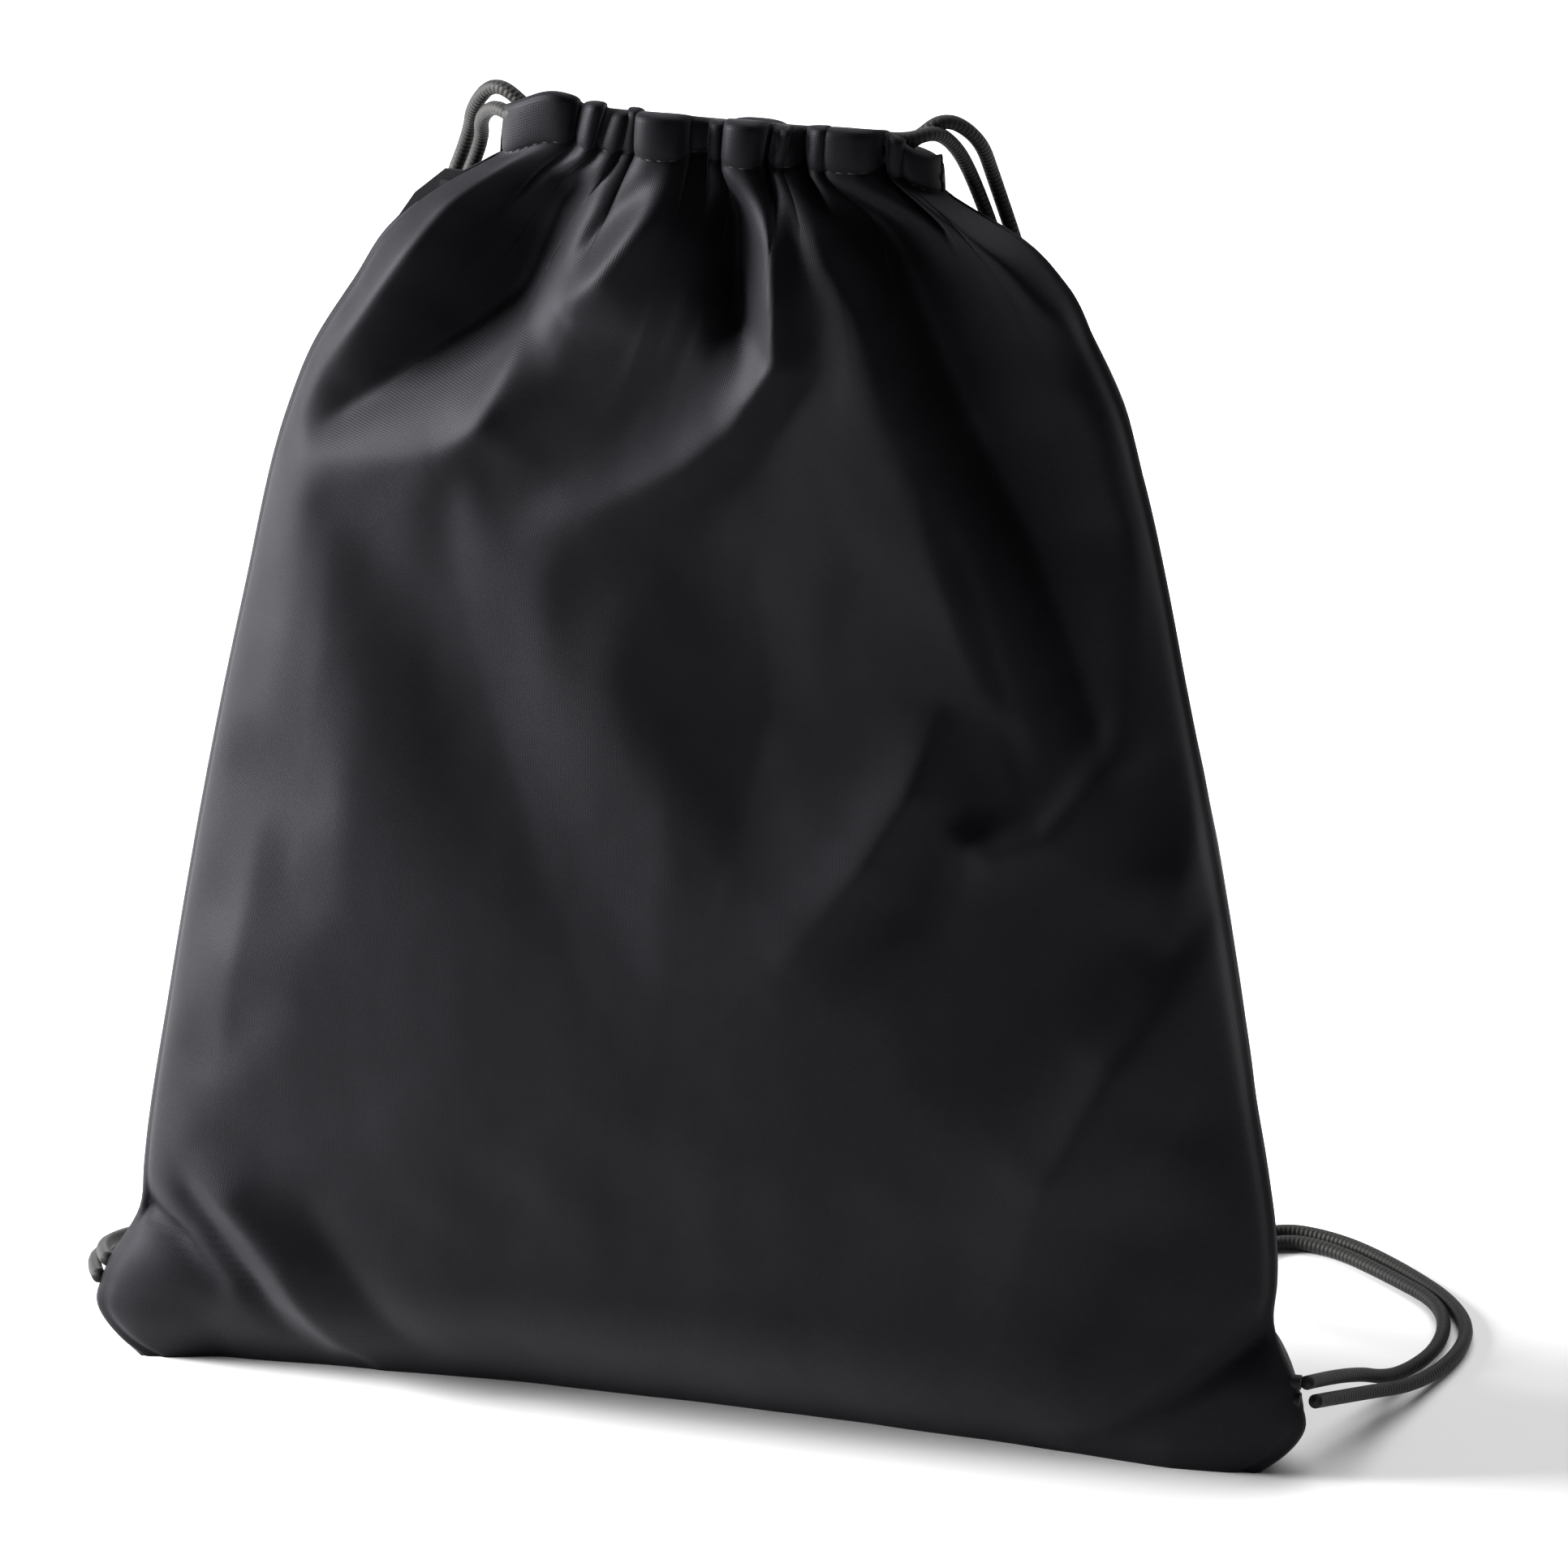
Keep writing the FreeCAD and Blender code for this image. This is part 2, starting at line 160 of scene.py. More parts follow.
def ramp(nodes, stops):
    """Colour ramp with two stops, each a place and a colour."""
    node = nodes.new("ShaderNodeValToRGB")
    for element, (place, colour) in zip(node.color_ramp.elements, stops):
        element.position = place
        element.color = colour
    return node


def cloth_material():
    """Black plain-weave polyester: fine crossing threads with painted shade between them, a soft satin
    sheen, slight mottling.
    """
    material, nodes, links, shader = new_material("bag_cloth")
    shader.inputs["Roughness"].default_value = 0.58
    shader.inputs["Sheen Weight"].default_value = 0.06
    shader.inputs["Sheen Roughness"].default_value = 0.35
    shader.inputs["Specular IOR Level"].default_value = 0.1
    shader.inputs["Specular Tint"].default_value = CLOTH_TINT
    shader.inputs["Sheen Tint"].default_value = CLOTH_TINT
    uv = nodes.new("ShaderNodeUVMap")
    uv.uv_map = "cloth"
    mottle = nodes.new("ShaderNodeTexNoise")
    mottle.inputs["Scale"].default_value = MOTTLE_SCALE
    mottle.inputs["Detail"].default_value = 4.0
    links.new(uv.outputs["UV"], mottle.inputs["Vector"])
    colour = ramp(nodes, [(0.3, (0.0024, 0.0024, 0.003, 1)), (0.7, (0.0036, 0.0036, 0.0045, 1))])
    links.new(mottle.outputs["Fac"], colour.inputs["Fac"])
    weave = nodes.new("ShaderNodeMath")
    weave.operation = "MULTIPLY"
    for slot, direction in enumerate(("X", "Y")):
        threads = nodes.new("ShaderNodeTexWave")
        threads.bands_direction = direction
        threads.inputs["Scale"].default_value = THREADS_SCALE
        threads.inputs["Distortion"].default_value = 1.2
        threads.inputs["Detail Scale"].default_value = 6.0
        links.new(uv.outputs["UV"], threads.inputs["Vector"])
        links.new(threads.outputs["Fac"], weave.inputs[slot])
    # painted shade: the base colour is darkened where the weave's height is low, between the threads, in
    # step with the bump
    weave_painted_shade = nodes.new("ShaderNodeMix")
    weave_painted_shade.data_type = "RGBA"
    weave_painted_shade.blend_type = "MULTIPLY"
    weave_painted_shade.inputs["Factor"].default_value = 0.35
    links.new(colour.outputs["Color"], weave_painted_shade.inputs["A"])
    links.new(weave.outputs[0], weave_painted_shade.inputs["B"])
    links.new(weave_painted_shade.outputs["Result"], shader.inputs["Base Color"])
    bump = nodes.new("ShaderNodeBump")
    bump.inputs["Strength"].default_value = 0.35
    bump.inputs["Distance"].default_value = 0.00015
    links.new(weave.outputs[0], bump.inputs["Height"])
    links.new(bump.outputs["Normal"], shader.inputs["Normal"])
    return material


def cord_material():
    """Braided polyester cord: rounded ribs crossing its length, from the UV map of the tube, with painted
    shade in the grooves between the ribs.
    """
    material, nodes, links, shader = new_material("cord_braid")
    shader.inputs["Roughness"].default_value = 0.6
    shader.inputs["Sheen Weight"].default_value = 0.05
    shader.inputs["Specular IOR Level"].default_value = 0.16
    uv = nodes.new("ShaderNodeUVMap")
    uv.uv_map = "braid"
    ribs = nodes.new("ShaderNodeTexWave")
    ribs.bands_direction = "DIAGONAL"
    ribs.inputs["Scale"].default_value = 1.0
    ribs.inputs["Distortion"].default_value = 0.6
    links.new(uv.outputs["UV"], ribs.inputs["Vector"])
    # the cord's own brownish black, painted lighter on the ribs' crests and darker in their grooves:
    # painted shade that follows the bump
    tone = ramp(nodes, [(0.1, (0.005, 0.0046, 0.0044, 1)), (0.9, (0.012, 0.011, 0.0104, 1))])
    links.new(ribs.outputs["Fac"], tone.inputs["Fac"])
    links.new(tone.outputs["Color"], shader.inputs["Base Color"])
    bump = nodes.new("ShaderNodeBump")
    bump.inputs["Strength"].default_value = 0.35
    bump.inputs["Distance"].default_value = 0.0004
    links.new(ribs.outputs["Fac"], bump.inputs["Height"])
    links.new(bump.outputs["Normal"], shader.inputs["Normal"])
    return material


def plain_material(name, colour, roughness):
    """One colour with a fine grain, for the small parts."""
    material, nodes, links, shader = new_material(name)
    shader.inputs["Roughness"].default_value = roughness
    shader.inputs["Specular IOR Level"].default_value = 0.2
    grain = nodes.new("ShaderNodeTexNoise")
    grain.inputs["Scale"].default_value = GRAIN_SCALE
    place = nodes.new("ShaderNodeTexCoord")
    links.new(place.outputs["Object"], grain.inputs["Vector"])
    darker = tuple(GRAIN_DARK * c for c in colour)
    tone = ramp(nodes, [(0.3, darker + (1,)), (0.7, tuple(colour) + (1,))])
    links.new(grain.outputs["Fac"], tone.inputs["Fac"])
    links.new(tone.outputs["Color"], shader.inputs["Base Color"])
    return material


CLOTH = cloth_material()
CORD = cord_material()
THREAD = plain_material("thread", (0.03, 0.03, 0.033), 0.6)
TAPE = plain_material("inner_cloth", (0.008, 0.008, 0.01), 0.7)


RIGHT_BACK_STRAND = [
    (177, -13.6, 29.7), (184, 16, 19), (192, 42, 4.5), (201, 68, 2.4), (197.5, 94, 2.4),
    (177, 110.5, 2.4), (157, 124, 2.4), (141, 126, 2.4), (128.5, 107, 2.6), (121, 84, 12),
    (116.5, 69, 37), (112.5, 60.5, 76), (107.5, 57.5, 124), (102, 56.5, 178), (97.5, 53.5, 232),
    (92.5, 47, 285), (88, 35, 329), (82.3, 23.8, 359.9),
]
RIGHT_BACK_ARCH = [(75.5, 25, 379), (73.5, 15.5, 395), (65, 8, 404), (57, 4.2, 397)]
RIGHT_BACK_LANE = 391.4
RIGHT_FRONT_LANE = 400.6
RIGHT_FRONT_ARCH = [(57, -3.2, 400.4), (63.5, 3, 401.5), (67.5, 12.5, 393), (70.5, 21.5, 379.5)]
RIGHT_FRONT_STRAND = [
    (78.5, 19.8, 359.2), (82.5, 36, 329), (87, 48, 285), (92, 54, 232), (96.5, 57, 178),
    (102, 58, 124), (107, 61.5, 76), (111, 71.5, 36), (115.5, 88, 10), (124, 111, 2.6), (138.5, 133.5, 2.4),
    (159, 130, 2.4), (180, 115.5, 2.4), (201.5, 95, 2.4), (208.5, 73, 2.4), (200.5, 43, 3.5),
    (187.5, 13, 14), (179.6, -14.2, 24.3),
]
LEFT_BACK_STRAND = [
    (177, -13.6, 29.7), (186, 8, 22), (183, 32, 15), (178, 56, 5), (171, 80, 2.4), (160, 97, 2.4),
    (145, 110.5, 2.4), (127, 114, 2.4), (114, 103.5, 2.6), (108.5, 85, 12), (107, 70, 37),
    (106.5, 61, 76), (104.5, 57.5, 124), (101, 56.5, 178), (97, 53.5, 232), (92.5, 47, 285),
    (88, 35, 329), (82.3, 23.8, 359.9),
]
LEFT_BACK_ARCH = [(75.5, 25, 379), (72.5, 15.5, 391), (64.5, 9.5, 402), (54, 5, 397)]
LEFT_BACK_LANE = 386.6
LEFT_FRONT_LANE = 396.0
LEFT_FRONT_ARCH = [(55, -3.4, 396), (62.8, 3, 397.5), (69.5, 12.5, 389), (71, 21.5, 378)]
LEFT_FRONT_STRAND = [
    (78.5, 19.8, 359.2), (82.5, 36, 329), (87, 48, 285), (91.5, 54, 232), (95.5, 57, 178),
    (99, 58, 124),
    (101, 62, 76), (101.5, 72, 36), (103, 88, 10), (109.5, 108.5, 2.6), (126, 120.5, 2.4),
    (148, 115.5, 2.4), (164.5, 100.5, 2.4), (175.5, 80.5, 2.4), (183.5, 56, 4), (188.5, 30, 11),
    (187.5, 6, 18), (179.6, -14.2, 24.3),
]
LANE_END_Y = 3.6           # a lane's distance from the middle plane at its ends and in its middle
LANE_MIDDLE_Y = 4.9
TURN_X = 57.5
TURN_Y = 5.2
TURN_RISE = 2.3            # the turnaround leaves the back lane rising and joins the front lane rising
TURN_DROP = 2


def lane(side, z):
    """A casing's lane from +X to -X."""
    return [(46, side * LANE_END_Y, z), (20, side * LANE_MIDDLE_Y, z), (-20, side * LANE_MIDDLE_Y, z),
            (-48, side * LANE_END_Y, z)]


def drawcord_route(back_strand, back_arch, back_height, front_height, front_arch, front_strand):
    turn = [(-TURN_X, TURN_Y, back_height + TURN_RISE), (-TURN_X, -TURN_Y, front_height - TURN_DROP)]
    return (back_strand + back_arch + lane(1, back_height) + turn + lane(-1, front_height)[::-1]
            + front_arch + front_strand)


def route_curve(name, points, mirror):
    curve = bpy.data.curves.new(name, "CURVE")
    curve.dimensions = "3D"
    curve.resolution_u = 10
    spline = curve.splines.new("NURBS")
    spline.points.add(len(points) - 1)
    for point, (x, y, z) in zip(spline.points, points):
        point.co = (mirror * x * MM, y * MM, z * MM, 1.0)
    spline.order_u = 3
    spline.use_endpoint_u = True
    return curve


def curve_points(curve):
    """Points along the curve's smooth line, in order, in metres."""
    holder = bpy.data.objects.new("route", curve)
    bpy.context.scene.collection.objects.link(holder)
    graph = bpy.context.evaluated_depsgraph_get()
    mesh = bpy.data.meshes.new_from_object(holder.evaluated_get(graph))
    points = np.array([v.co for v in mesh.vertices])
    bpy.data.objects.remove(holder)
    bpy.data.meshes.remove(mesh)
    return points


def resample(points, step):
    """The same path with evenly spaced points."""
    gaps = np.linalg.norm(np.diff(points, axis=0), axis=1)
    along = np.concatenate([[0], np.cumsum(gaps)])
    count = int(round(along[-1] / step)) + 1
    at = np.linspace(0, along[-1], count)
    return np.stack([np.interp(at, along, points[:, k]) for k in range(3)], axis=1)


CORD_SIDES = 14
CORD_STEP = 1.1 * MM
BRAID_TURN = 0.314         # one rib of the wave pattern
BRAID_PITCH = 0.75 * MM    # length of cord from rib to rib


def tube_mesh(name, path, radius):
    """Closed round tube along a path, with its frame carried along without twisting."""
    tangents = np.gradient(path, axis=0)
    tangents /= np.linalg.norm(tangents, axis=1)[:, None]
    normal = np.cross(tangents[0], [0.0, 0.0, 1.0])
    vertices = []
    for point, tangent in zip(path, tangents):
        normal = normal - tangent * normal.dot(tangent)
        normal = normal / np.linalg.norm(normal)
        side = np.cross(tangent, normal)
        for k in range(CORD_SIDES):
            angle = 2 * math.pi * k / CORD_SIDES
            vertices.append(point + radius * (math.cos(angle) * normal + math.sin(angle) * side))
    faces = []
    for row in range(len(path) - 1):
        for k in range(CORD_SIDES):
            a = row * CORD_SIDES + k
            b = row * CORD_SIDES + (k + 1) % CORD_SIDES
            faces.append((a, b, b + CORD_SIDES, a + CORD_SIDES))
    faces.append(tuple(reversed(range(CORD_SIDES))))
    last = (len(path) - 1) * CORD_SIDES
    faces.append(tuple(range(last, last + CORD_SIDES)))
    mesh = bpy.data.meshes.new(name)
    mesh.from_pydata([tuple(v) for v in vertices], [], faces)
    layer = mesh.uv_layers.new(name="braid")
    for polygon in mesh.polygons[:-2]:
        row, k = divmod(polygon.index, CORD_SIDES)
        corners = ((k, row), (k + 1, row), (k + 1, row + 1), (k, row + 1))
        for loop, (round_at, along_at) in zip(polygon.loop_indices, corners):
            layer.data[loop].uv = (round_at / CORD_SIDES * BRAID_TURN,
                                   along_at * CORD_STEP / BRAID_PITCH * BRAID_TURN)
    mesh.shade_smooth()
    return mesh


def link(name, mesh, material):
    piece = bpy.data.objects.new(name, mesh)
    bpy.context.scene.collection.objects.link(piece)
    mesh.materials.append(material)
    return piece


def add_drawcord(side, mirror, route):
    path = resample(curve_points(route_curve(side + "_route", route, mirror)), CORD_STEP)
    cord = link(side + "_drawcord", tube_mesh(side + "_drawcord", path, CORD_DIA / 2 * MM), CORD)
    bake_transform(cord)
    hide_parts(side + "_drawcord_channel", side + "_strap_back_strand",
                side + "_strap_front_strand")


add_drawcord("right", 1, drawcord_route(RIGHT_BACK_STRAND, RIGHT_BACK_ARCH, RIGHT_BACK_LANE,
                                        RIGHT_FRONT_LANE, RIGHT_FRONT_ARCH, RIGHT_FRONT_STRAND))
add_drawcord("left", -1, drawcord_route(LEFT_BACK_STRAND, LEFT_BACK_ARCH, LEFT_BACK_LANE,
                                        LEFT_FRONT_LANE, LEFT_FRONT_ARCH, LEFT_FRONT_STRAND))

# ---- gathered mouth --------------------------------------------------------------------------
# Pleats of the front casing from left to right: visible width, gap before the next one, depth,
# how much higher or lower its top stands, and sideways lean.
FRONT_PLEATS = [
    (24.0, 0.6, 8.5, 3.0, 0.10),
    (5.0, 0.4, 9.5, 1.5, 0.25),
    (6.5, 0.4, 9.0, -0.5, 0.30),
    (5.5, 0.4, 8.0, 0.5, 0.15),
    (14.0, 4.5, 11.5, 0.8, -0.05),
    (4.0, 0.3, 7.0, -1.5, 0.10),
    (10.5, 1.0, 12.0, 1.0, 0.05),
    (4.5, 0.4, 9.0, -0.8, 0.25),
    (5.5, 0.4, 8.5, -1.2, -0.20),
    (5.0, 0.4, 9.5, 0.4, 0.15),
    (15.0, 0.6, 10.5, 0.3, -0.10),
    (5.0, 0.4, 8.5, -1.0, 0.10),
    (13.0, 0.0, 8.5, -1.5, -0.15),
]
BACK_PLEATS = [
    (11.0, 0.8, 10.0, 0.5, 0.10),
    (7.0, 0.5, 11.0, -0.5, -0.20),
    (13.0, 2.0, 12.0, 1.0, 0.05),
    (6.0, 0.5, 10.0, 0.0, 0.25),
    (10.0, 1.0, 12.0, 0.5, -0.10),
    (16.0, 3.0, 13.0, 1.5, 0.05),
    (6.0, 0.5, 10.0, -0.5, 0.20),
    (9.0, 0.8, 11.0, 0.0, -0.15),
    (7.0, 0.5, 10.0, 0.5, 0.10),
    (15.0, 0.0, 10.0, 1.0, -0.05),
]
PLEAT_SAMPLES = 40
NARROW_PLEAT = 8           # pleats below this width are rounder
NARROW_POWER = 0.6
WIDE_POWER = 0.42
FLANK_POWER = 0.8          # below 1 the pleat's flanks stand steeper
VALLEY_DIP = 3.6           # the valleys' tops hang this far below the pleats' tops
REACH_LEAST = 10.0         # a pleat runs this far down the panel, and farther the wider it is
REACH_PER_WIDTH = 1.4


def pleat_curve(pleats):
    """Plan curve of the gathered cloth at closely spaced points: place across the mouth (-1 to 1),
    depth, top offset, how far down the panel the pleat runs and its sideways tilt."""
    across, depth, rise, reach, tilt = [], [], [], [], []
    x = 0.0
    for width, gap, deep, lift, lean in pleats:
        for k in range(PLEAT_SAMPLES):
            angle = math.pi * (k + 0.5) / PLEAT_SAMPLES
            out = math.sin(angle) ** (NARROW_POWER if width < NARROW_PLEAT else WIDE_POWER)
            flank = math.copysign(abs(math.cos(angle)) ** FLANK_POWER, math.cos(angle))
            across.append(x + width * (0.5 - 0.5 * flank) + lean * deep * out)
            depth.append(deep * out)
            rise.append(lift * out - VALLEY_DIP * (1 - out))
            reach.append(REACH_LEAST + REACH_PER_WIDTH * width)
            tilt.append(lean)
        x += width + gap
    across = np.array(across)
    across = across / x * 2 - 1
    return across, np.array(depth), np.array(rise), np.array(reach), np.array(tilt), x


class Gather:
    """The pleats of one casing, looked up by flat position s from -1 to 1."""

    def __init__(self, pleats):
        across, depth, rise, reach, tilt, width = pleat_curve(pleats)
        steps = np.hypot(np.diff(across * width / 2), np.diff(depth))
        along = np.concatenate([[0], np.cumsum(steps)])
        self.flat = along / along[-1] * 2 - 1
        self.across = across
        self.depth = depth
        self.rise = rise
        average = np.ones(PLEAT_SAMPLES) / PLEAT_SAMPLES
        self.reach = np.convolve(reach, average, mode="same")
        self.tilt = np.convolve(tilt, average, mode="same")

    def at(self, s):
        """Place across, depth, rise, reach and tilt at the flat positions s."""
        return (np.interp(s, self.flat, self.across), np.interp(s, self.flat, self.depth),
                np.interp(s, self.flat, self.rise), np.interp(s, self.flat, self.reach),
                np.interp(s, self.flat, self.tilt))


# ---- folds -----------------------------------------------------------------------------------
# A fold is a line drawn down the panel. Each point is x, z, height of the fold there, and how wide
# it falls away on its -X and +X sides. Negative heights are valleys.
FRONT_FOLDS = [
    # the hollow beside the left lobe, and the crease running down out of it
    [(-36, 390, -6, 16, 5), (-43, 376, -12, 26, 7), (-50, 361, -15, 32, 9), (-56, 347, -15, 36, 9),
     (-72, 334, -13, 30, 8), (-90, 319, -9, 22, 7), (-104, 307, -5, 14, 6), (-114, 299, -1, 9, 6)],
    [(-55, 350, -10, 6, 12), (-58, 339, -6, 5, 10), (-60, 328, -2, 4, 8)],
    [(-62, 391, 3, 8, 12), (-79, 375, 8, 8, 14), (-88, 361, 10, 8, 16), (-97, 346, 10, 9, 16),
     (-104, 333, 8, 9, 14), (-111, 319, 2, 9, 12)],
    [(-46, 368, 2, 3, 10), (-50, 353, 4, 3, 14), (-53, 340, 5, 4, 16), (-56, 328, 5, 7, 16),
     (-60, 317, 6, 10, 11), (-65, 311, 5, 11, 9), (-72, 306, 4, 13, 14), (-90, 300, 2.5, 14, 20),
     (-110, 296, 1, 12, 20)],
    # the ridge falling to the left from the middle casing
    [(-10, 389, 3, 4, 6), (-17, 381, 5, 4, 9), (-23, 373, 6, 4, 10), (-31, 361, 6, 4, 10),
     (-40, 353, 4, 4, 8), (-46, 350, 1, 4, 6)],
    [(-16, 387, -3, 6, 3), (-25, 377, -5, 8, 3), (-35, 366, -6, 9, 3), (-44, 356, -5, 6, 3)],
    # the narrow dark valley in the middle and the ridge beside it, turning down to the left
    [(4, 392, -6, 5, 5), (4, 378, -9, 6, 5), (6, 361, -9, 6, 5), (9, 349, -6, 5, 4), (11, 343, -1, 4, 4)],
    [(0, 350, -1, 4, 3), (6, 347, -3, 4, 3), (11, 345, -1, 4, 3)],
    [(14, 390, 3, 5, 6), (17, 380, 6, 5, 7), (20, 361, 8, 5, 8), (22, 343, 6, 5, 7), (11, 322, 4, 9, 6),
     (-2, 309, 3.6, 9, 6), (-27, 293, 1.5, 9, 7)],
    # the long edge of the big dark fold on the right
    [(24, 391, 4, 10, 4), (34, 371, 6, 14, 4), (45, 359, 7, 18, 5), (56, 341, 7, 22, 5),
     (66, 320, 6, 24, 6), (71, 298, 5, 24, 7), (80, 265, 3, 24, 8), (88, 240, 1, 22, 8)],
    [(36, 389, -6, 5, 9), (50, 367, -10, 6, 14), (65, 338, -12, 7, 20), (80, 311, -12, 8, 22),
     (94, 285, -10, 9, 20), (108, 250, -6, 9, 14), (119, 225, -1, 7, 10)],
    [(62, 330, -2, 3, 3), (76, 290, -4, 3, 5), (92, 243, -1, 3, 3)],
    # the shoulder ridge to its right
    [(50, 392, 3, 6, 7), (62, 388, 5, 8, 7), (81, 376, 6, 9, 8), (97, 359, 6, 10, 8),
     (110, 345, 5, 12, 9), (121, 318, 3, 12, 9), (128, 285, 1, 12, 8)],
    [(74, 207, 1, 8, 6), (88, 201, 3, 9, 6), (103, 206, 3, 9, 6), (118, 226, 1, 7, 7)],
    [(74, 246, 1, 14, 9), (66, 218, 5, 15, 8), (54, 196, 5, 16, 8), (28, 162, 1, 16, 12)],
    [(88, 236, -1.5, 8, 8), (78, 208, -1.5, 8, 9), (64, 182, -1, 10, 9)],
    # soft hollows and swells of the filled body
    [(-104, 280, 0.5, 18, 24), (-106, 240, 2.2, 18, 28), (-114, 190, 1, 18, 26)],
    [(-70, 285, -1, 16, 22), (-58, 235, -2.2, 20, 26), (-42, 190, -2.2, 22, 26),
     (-26, 150, -1, 22, 26)],
    [(20, 280, -1, 14, 14), (26, 240, -2, 18, 14), (16, 200, -1, 18, 14)],
    [(-128, 180, 1, 10, 12), (-134, 140, 3, 10, 14), (-140, 100, 1, 10, 12)],
    [(-164, 50, -5, 5, 6), (-152, 45, -5, 6, 5), (-139, 34, -2, 5, 5)],
    [(-150, 74, 1, 6, 9), (-137, 63, 4, 6, 9), (-120, 45, 3.6, 6, 11), (-104, 14, 2.2, 6, 11)],
    [(-150, 60, -2, 4, 5), (-140, 48, -3, 4, 5), (-128, 34, -3, 4, 5), (-120, 18, -1, 4, 5)],
    [(-112, 62, -2, 8, 8), (-98, 40, -3, 8, 8), (-84, 18, -1, 8, 8)],
    [(172, 50, -5, 5, 5), (158, 40, -4, 5, 6), (141, 26, -3, 6, 6), (118, 10, -1, 6, 6)],
    [(150, 172, 1, 14, 16), (124, 137, 5, 14, 18), (106, 102, 5, 14, 18), (96, 66, 1, 14, 18)],
    [(138, 110, -1, 10, 14), (124, 80, -4, 12, 14), (116, 46, -2, 12, 14)],
    [(146, 215, 1, 8, 8), (140, 190, 3, 8, 8), (136, 165, 1, 8, 8)],
]
BACK_FOLDS = [
    [(-70, 378, -4, 12, 12), (-72, 350, -7, 16, 12), (-76, 320, -5, 18, 10), (-80, 290, -1, 14, 10)],
    [(-40, 386, 5, 6, 12), (-52, 345, 7, 6, 16), (-60, 310, 5, 8, 18), (-70, 270, 1, 8, 16)],
    [(0, 386, -6, 6, 6), (4, 350, -7, 7, 8), (2, 315, -4, 8, 8), (-4, 280, 0, 8, 8)],
    [(34, 386, 5, 6, 10), (40, 350, 7, 8, 10), (46, 310, 5, 10, 12), (58, 262, 1, 12, 14)],
    [(62, 380, -4, 8, 8), (76, 345, -6, 9, 10), (88, 305, -4, 10, 10), (98, 265, -1, 10, 10)],
    [(-20, 388, 3, 5, 6), (-24, 355, 4, 6, 8), (-34, 320, 1, 8, 8)],
    # the flatter left shoulder
    [(-68, 386, -3, 9, 9), (-82, 372, -5, 10, 10), (-96, 350, -5, 10, 10), (-106, 325, -2, 10, 10)],
    [(166, 46, -5, 5, 5), (150, 34, -4, 5, 5), (128, 16, -2, 6, 6)],
    [(-166, 46, -5, 5, 5), (-150, 34, -4, 5, 5), (-128, 16, -2, 6, 6)],
    [(-60, 230, 1, 20, 20), (-84, 190, 3, 20, 24), (-100, 130, 1, 20, 24)],
    [(70, 220, 1, 20, 20), (92, 180, 3, 20, 24), (106, 120, 1, 20, 24)],
]
FOLD_STRENGTH = 1.45       # times the heights above
FOLD_SHARPNESS = 1.35      # below 2 the folds' lines are crisper than a smooth swell


def stroke_height(fold, x, z):
    """Height of one fold line's hill or valley at the points x, z."""
    best = np.full_like(x, np.inf)
    height = np.zeros_like(x)
    for (x0, z0, *start), (x1, z1, *end) in zip(fold, fold[1:]):
        dx, dz = x1 - x0, z1 - z0
        share = np.clip(((x - x0) * dx + (z - z0) * dz) / (dx * dx + dz * dz), 0, 1)
        gap = np.hypot(x - x0 - share * dx, z - z0 - share * dz)
        side = dx * (z - z0) - dz * (x - x0)
        high, left, right = (a + share * (b - a) for a, b in zip(start, end))
        width = np.where(side > 0, right, left)
        here = FOLD_STRENGTH * high * np.exp(-(gap / width) ** FOLD_SHARPNESS)
        height = np.where(gap < best, here, height)
        best = np.minimum(best, gap)
    return height


FIELD_X = (-195, 196)
FIELD_Z = (-10, 411)
FIELD_STEP = 1.25
FIELD_BLUR = 1.1           # the cloth cannot bend more sharply than this
BLUR_REACH = 4             # grid steps to each side


class FoldField:
    """All the folds of a panel on a square grid: the highest hill plus the deepest valley, softened."""

    def __init__(self, folds):
        self.x = np.arange(*FIELD_X, FIELD_STEP)
        self.z = np.arange(*FIELD_Z, FIELD_STEP)
        x, z = np.meshgrid(self.x, self.z)
        layers = np.array([stroke_height(fold, x, z) for fold in folds])
        field = layers.max(axis=0).clip(min=0) + layers.min(axis=0).clip(max=0)
        reach = np.arange(-BLUR_REACH, BLUR_REACH + 1) * FIELD_STEP
        kernel = np.exp(-(reach / FIELD_BLUR) ** 2 / 2)
        kernel /= kernel.sum()
        for axis in (0, 1):
            field = np.apply_along_axis(np.convolve, axis, field, kernel, mode="same")
        self.field = field

    def at(self, x, z):
        """Height of the folds at the points x of one row z."""
        column = np.clip((x - self.x[0]) / FIELD_STEP, 0, len(self.x) - 1.001)
        row = np.clip((z - self.z[0]) / FIELD_STEP, 0, len(self.z) - 1.001)
        c, r = column.astype(int), int(row)
        u, v = column - c, row - r
        low = self.field[r][c] * (1 - u) + self.field[r][c + 1] * u
        high = self.field[r + 1][c] * (1 - u) + self.field[r + 1][c + 1] * u
        return low * (1 - v) + high * v


# ---- cloth panels ----------------------------------------------------------------------------
COLUMNS = 230
OVAL_SAMPLES = 400


def oval_row(z, side, across):
    """Points of the filled section at height z, at the given places across (-1 to 1) along it."""
    half = float(profile(HALF_WIDTH, z))
    surface = float(profile(FRONT_Y if side < 0 else BACK_Y, z))
    base = float(seam_y(z))
    depth = abs(surface - base)
    angle = np.linspace(math.pi, 0, OVAL_SAMPLES)
    cosine, sine = np.cos(angle), np.sin(angle)
    x = half * np.sign(cosine) * np.abs(cosine) ** (2 / OVAL_POWER)
    y = base + side * depth * np.abs(sine) ** (2 / OVAL_POWER)
    along = np.concatenate([[0], np.cumsum(np.hypot(np.diff(x), np.diff(y)))])
    place = (across + 1) / 2 * along[-1]
    return np.interp(place, along, x), np.interp(place, along, y)


NECK_FROM = 330            # the neck under the mouth has closer rows


